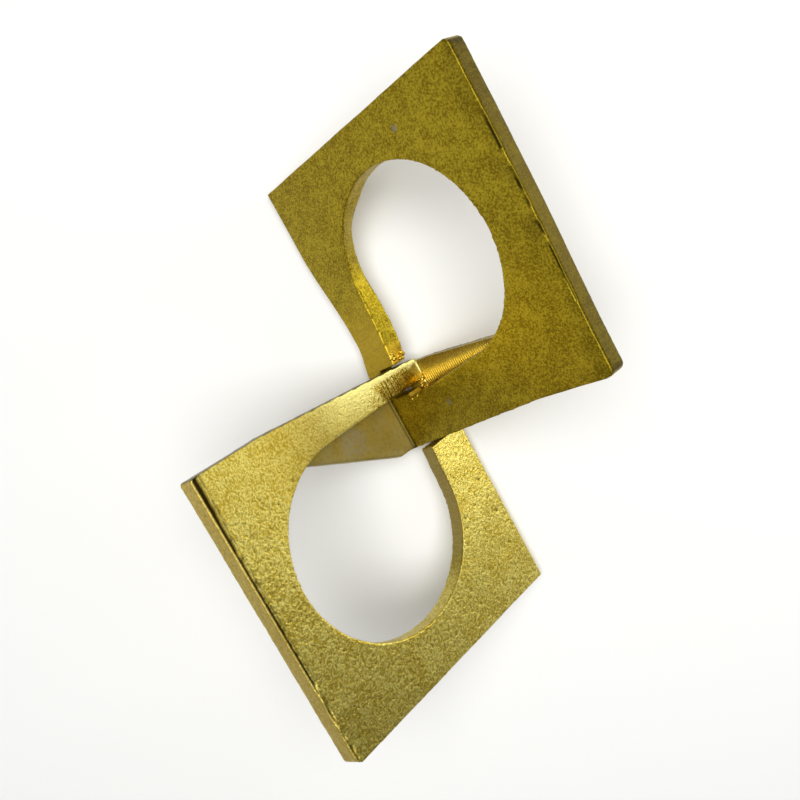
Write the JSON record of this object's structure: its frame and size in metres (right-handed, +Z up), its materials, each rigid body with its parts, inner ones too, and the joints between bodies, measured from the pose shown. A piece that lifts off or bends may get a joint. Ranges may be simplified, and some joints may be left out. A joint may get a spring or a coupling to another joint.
{
  "type": "linked square disentanglement puzzle",
  "caption": "Two flat square cast links with round windows, hooked through each other at a corner and standing in an open V, in an antique gold finish.",
  "frame": {"origin": "on the table under the middle of the pair, between the two foot edges", "axes": "+Z up; +Y along the line where the two plates cross, from the lower link's end towards the upper link's; +X towards the upper link's raised edge"},
  "size_m": [0.1402, 0.187, 0.0816],
  "materials": {
    "cast_gold": "sand-cast aluminium, antique gold tint, satin",
    "weld_gold": "dressed weld bead, gold tint, satin to bright"
  },
  "bodies": {
    "upper_link": {"upper_link": "cast_gold", "upper_link_seam": "weld_gold"},
    "lower_link": {"lower_link": "cast_gold", "lower_link_seam": "weld_gold"}
  },
  "joints": [
    {"name": "link_slide", "type": "slide", "parent": "upper_link", "child": "lower_link", "axis": [0.7071, 0, 0.7071], "range_m": [0, 0.02]}
  ]
}
